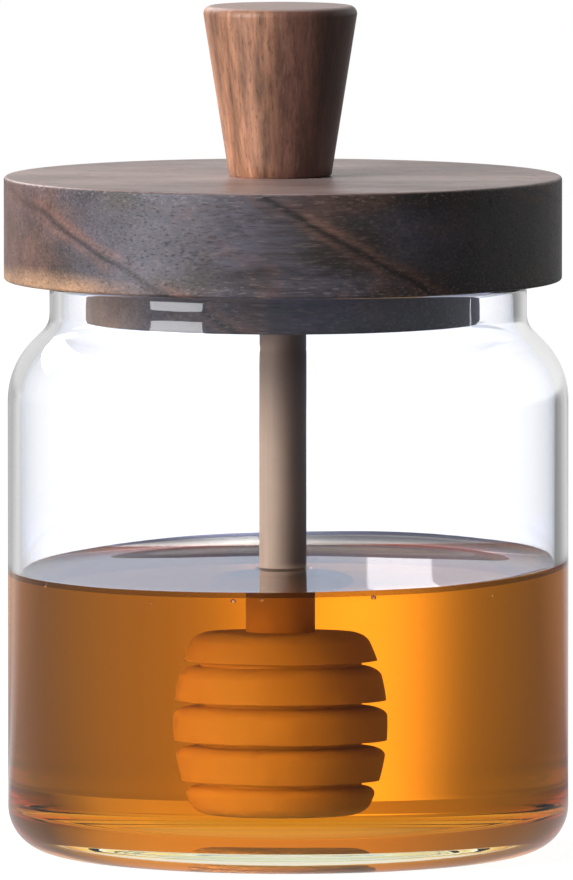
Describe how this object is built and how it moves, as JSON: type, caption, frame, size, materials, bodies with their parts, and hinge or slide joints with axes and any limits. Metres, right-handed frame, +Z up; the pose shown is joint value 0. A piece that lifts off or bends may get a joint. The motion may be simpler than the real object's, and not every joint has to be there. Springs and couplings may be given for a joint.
{
  "type": "honey pot",
  "caption": "Cylindrical glass jar with a rounded shoulder and wide neck, partly filled with honey, closed by a turned wooden lid with a tapered knob and holding a wooden honey dipper.",
  "frame": {"origin": "centre of the jar's flat base, on the surface it stands on", "axes": "+Z up through the lid's knob, -Y the side that the picture shows, +X to its right"},
  "size_m": [0.0855, 0.085, 0.1281],
  "materials": {
    "clear_glass": "clear and glossy",
    "honey": "clear amber liquid",
    "pale_wood": "smooth turned, unvarnished",
    "dark_wood": "oiled, open grained",
    "brown_wood": "oiled, smooth turned"
  },
  "bodies": {
    "root": {"glass_jar": "clear_glass", "honey": "honey", "dipper": "pale_wood", "lid": "dark_wood", "knob": "brown_wood"}
  },
  "joints": []
}
